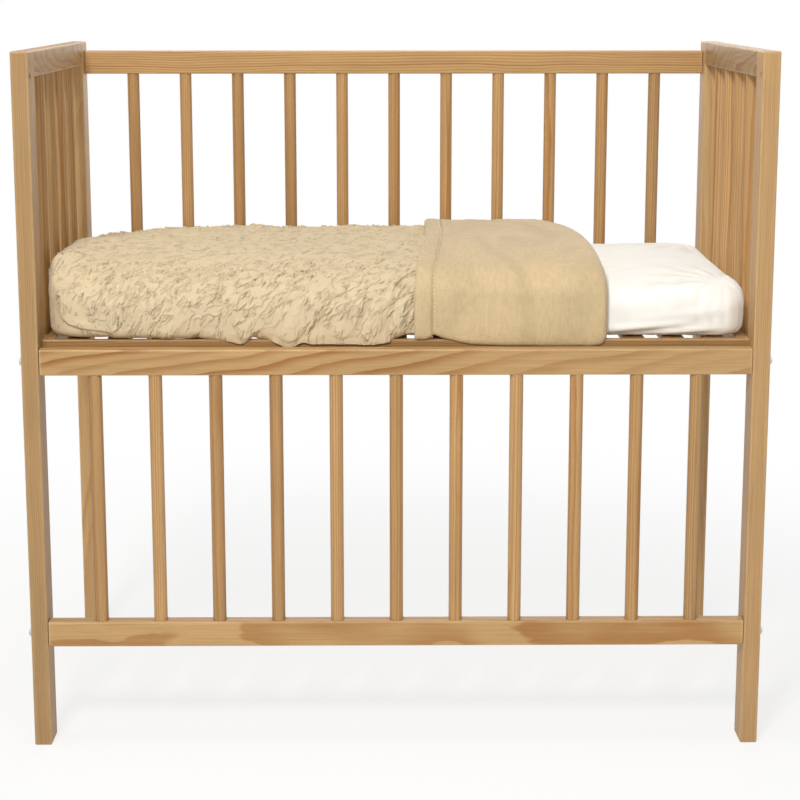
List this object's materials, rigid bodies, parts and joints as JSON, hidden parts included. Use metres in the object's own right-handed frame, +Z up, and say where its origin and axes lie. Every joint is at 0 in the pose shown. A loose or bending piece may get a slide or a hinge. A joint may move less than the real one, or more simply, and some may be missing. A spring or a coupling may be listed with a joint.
{
  "type": "bedside sleeper crib",
  "caption": "Slatted wooden bedside crib, low on one side, with mattress, tucked quilt and folded blanket.",
  "frame": {"origin": "on the floor, under the middle of the crib's outline", "axes": "+Z up, -Y towards the low open side that stands against the adult's bed, +X to the right as seen from that side"},
  "size_m": [0.9584, 0.466, 0.902],
  "materials": {
    "leg_wood": "honey-stained pine with a satin lacquer, straight grain",
    "rail_wood": "honey-stained pine with a satin lacquer, flat-sawn figure",
    "dowel_wood": "honey-stained pine dowel with a satin lacquer",
    "pin_wood": "bare beech",
    "base_wood": "honey-stained pine, sawn and planed",
    "slat_wood": "stained pine slats",
    "zinc_steel": "bright zinc-plated steel",
    "sheet_cotton": "white cotton jersey fitted sheet",
    "quilt_cotton": "cream crinkled cotton",
    "blanket_fleece": "tan short-pile fleece"
  },
  "bodies": {
    "frame": {"post_front_left": "leg_wood", "post_back_left": "leg_wood", "post_front_right": "leg_wood", "post_back_right": "leg_wood", "end_left_top_rail": "rail_wood", "end_left_lower_rail": "rail_wood", "end_left_dowel_1": "dowel_wood", "end_left_dowel_2": "dowel_wood", "end_left_dowel_3": "dowel_wood", "end_left_dowel_4": "dowel_wood", "end_left_pins": "pin_wood", "end_right_top_rail": "rail_wood", "end_right_lower_rail": "rail_wood", "end_right_dowel_1": "dowel_wood", "end_right_dowel_2": "dowel_wood", "end_right_dowel_3": "dowel_wood", "end_right_dowel_4": "dowel_wood", "end_right_pins": "pin_wood", "back_top_rail": "rail_wood", "back_lower_rail": "rail_wood", "back_dowel_1": "dowel_wood", "back_dowel_2": "dowel_wood", "back_dowel_3": "dowel_wood", "back_dowel_4": "dowel_wood", "back_dowel_5": "dowel_wood", "back_dowel_6": "dowel_wood", "back_dowel_7": "dowel_wood", "back_dowel_8": "dowel_wood", "back_dowel_9": "dowel_wood", "back_dowel_10": "dowel_wood", "back_dowel_11": "dowel_wood", "back_barrel_nuts": "zinc_steel", "front_bolts": "zinc_steel", "back_bolts": "zinc_steel", "base_bolts": "zinc_steel", "base_nuts": "zinc_steel", "base_screws": "zinc_steel", "base_front_batten": "base_wood", "base_back_batten": "base_wood", "base_left_bar": "base_wood", "base_right_bar": "base_wood", "base_slats": "slat_wood"},
    "front_panel": {"front_top_rail": "rail_wood", "front_lower_rail": "rail_wood", "front_dowel_1": "dowel_wood", "front_dowel_2": "dowel_wood", "front_dowel_3": "dowel_wood", "front_dowel_4": "dowel_wood", "front_dowel_5": "dowel_wood", "front_dowel_6": "dowel_wood", "front_dowel_7": "dowel_wood", "front_dowel_8": "dowel_wood", "front_dowel_9": "dowel_wood", "front_dowel_10": "dowel_wood", "front_dowel_11": "dowel_wood", "front_barrel_nuts": "zinc_steel", "front_bolt_ends": "zinc_steel"},
    "bedding": {"mattress": "sheet_cotton", "quilt": "quilt_cotton", "blanket": "blanket_fleece"}
  },
  "joints": [
    {"name": "front_panel_height", "type": "slide", "parent": "frame", "child": "front_panel", "axis": [0, 0, 1], "range_m": [0, 0.36]},
    {"name": "bedding_lift", "type": "slide", "parent": "frame", "child": "bedding", "axis": [0, 0, 1], "range_m": [0, 0.37]}
  ]
}
